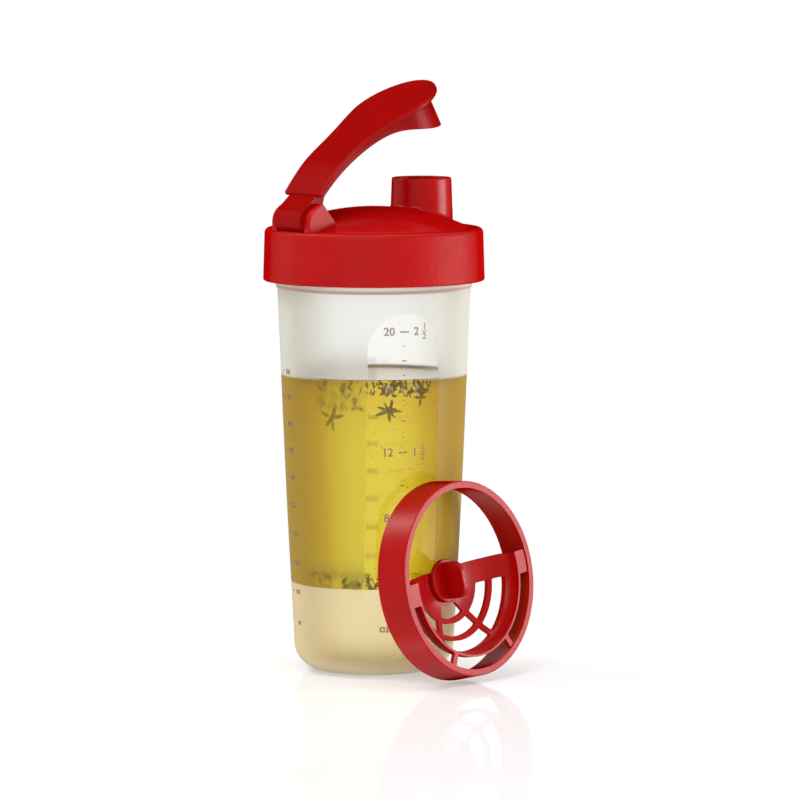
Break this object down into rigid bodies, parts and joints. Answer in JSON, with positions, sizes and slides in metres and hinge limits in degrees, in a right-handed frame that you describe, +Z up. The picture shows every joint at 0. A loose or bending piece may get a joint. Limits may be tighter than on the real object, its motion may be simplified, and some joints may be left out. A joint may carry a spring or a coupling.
{
  "type": "salad dressing shaker bottle",
  "caption": "Translucent shaker bottle with a screw lid, pouring spout and hinged flip cap, and a loose blending wheel leaning on it.",
  "frame": {"origin": "centre of the bottle's base, on the surface that it stands on", "axes": "+Z up along the bottle's axis; the picture looks along +Y, with +X to the right"},
  "size_m": [0.1173, 0.1234, 0.2558],
  "materials": {
    "bottle_plastic": "frosted translucent polypropylene",
    "lid_red": "fine-grained skirt, glossy dome",
    "cap_red": "satin",
    "wheel_red": "satin",
    "pin_red": "satin",
    "seal_soft": "matt translucent silicone",
    "dressing_oil": "clear golden liquid",
    "dressing_base": "cloudy pale liquid",
    "herbs": "chopped leaves",
    "scale_print": "printed marks"
  },
  "bodies": {
    "bottle": {"bottle": "bottle_plastic"},
    "seal": {"lid_gasket": "seal_soft"},
    "lid": {"lid": "lid_red"},
    "cap": {"flip_cap": "cap_red", "hinge_pin": "pin_red", "spout_plug": "seal_soft"},
    "wheel": {"blending_wheel": "wheel_red", "wheel_knob": "wheel_red"}
  },
  "joints": [
    {"name": "lid_rise", "type": "slide", "parent": "bottle", "child": "seal", "axis": [0, 0, 1], "range_m": [0, 0.0271]},
    {"name": "lid_turn", "type": "hinge", "parent": "seal", "child": "lid", "pos_m": [0, 0, 0.188], "axis": [0, 0, 1], "range_deg": [0, 540]},
    {"name": "cap_flip", "type": "hinge", "parent": "lid", "child": "cap", "pos_m": [-0.03274, -0.02467, 0.1972], "axis": [0.6018, -0.7986, 0], "range_deg": [-28, 112]},
    {"name": "wheel_lift", "type": "slide", "parent": "bottle", "child": "wheel", "axis": [0.7424, -0.6522, 0.153], "range_m": [0, 0.12]}
  ],
  "couplings": [
    {"joint": "lid_rise", "follows": "lid_turn", "m_per_rad": 0.0028648}
  ]
}
